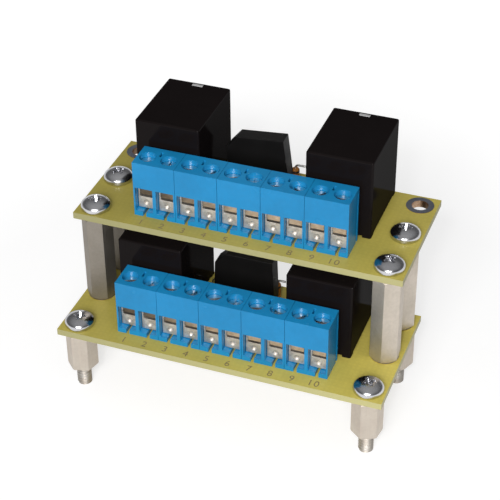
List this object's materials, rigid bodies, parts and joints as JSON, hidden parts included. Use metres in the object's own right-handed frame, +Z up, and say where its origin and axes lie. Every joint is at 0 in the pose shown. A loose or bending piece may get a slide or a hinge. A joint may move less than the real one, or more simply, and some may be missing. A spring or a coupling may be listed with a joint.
{
  "type": "two-storey relay board",
  "caption": "Two bare fibreglass relay boards stacked on hex standoffs, each with ten blue screw terminals, two sealed black relays, a bridge rectifier and two glass diodes.",
  "frame": {"origin": "middle of the whole stack in plan, at the height of the tips of the four foot studs", "axes": "+X along the terminal rows, +Y from the terminal side to the relay side, +Z up"},
  "size_m": [0.078, 0.0456, 0.0622],
  "materials": {
    "foot_metal": "satin",
    "standoff_metal": "satin",
    "nut_steel": "satin",
    "board_laminate": "satin",
    "tinned_copper": "satin",
    "bare_copper": "satin",
    "solder": "satin",
    "terminal_plastic": "satin",
    "clamp_steel": "bright",
    "cage_steel": "bright",
    "contact_brass": "satin",
    "relay_plastic": "gloss",
    "pin_metal": "satin",
    "rectifier_plastic": "satin",
    "lead_metal": "satin",
    "diode_glass": "clear amber",
    "screw_chrome": "bright"
  },
  "bodies": {
    "root": {"feet": "foot_metal", "long_standoffs": "standoff_metal", "stud_nuts": "nut_steel", "lower_circuit_board": "board_laminate", "lower_hole_lands": "tinned_copper", "lower_copper_tracks": "bare_copper", "lower_solder_joints": "solder", "lower_terminal_block_1": "terminal_plastic", "lower_terminal_block_2": "terminal_plastic", "lower_terminal_block_3": "terminal_plastic", "lower_terminal_block_4": "terminal_plastic", "lower_terminal_block_5": "terminal_plastic", "lower_clamp_screws": "clamp_steel", "lower_wire_cages": "cage_steel", "lower_contacts": "contact_brass", "lower_left_relay": "relay_plastic", "lower_right_relay": "relay_plastic", "lower_relay_pins": "pin_metal", "lower_rectifier": "rectifier_plastic", "lower_rectifier_leads": "lead_metal", "lower_diodes": "diode_glass", "lower_diode_leads": "lead_metal", "lower_board_screws": "screw_chrome", "upper_circuit_board": "board_laminate", "upper_hole_lands": "tinned_copper", "upper_copper_tracks": "bare_copper", "upper_solder_joints": "solder", "upper_terminal_block_1": "terminal_plastic", "upper_terminal_block_2": "terminal_plastic", "upper_terminal_block_3": "terminal_plastic", "upper_terminal_block_4": "terminal_plastic", "upper_terminal_block_5": "terminal_plastic", "upper_clamp_screws": "clamp_steel", "upper_wire_cages": "cage_steel", "upper_contacts": "contact_brass", "upper_left_relay": "relay_plastic", "upper_right_relay": "relay_plastic", "upper_relay_pins": "pin_metal", "upper_rectifier": "rectifier_plastic", "upper_rectifier_leads": "lead_metal", "upper_diodes": "diode_glass", "upper_diode_leads": "lead_metal", "upper_board_screws": "screw_chrome"}
  },
  "joints": []
}
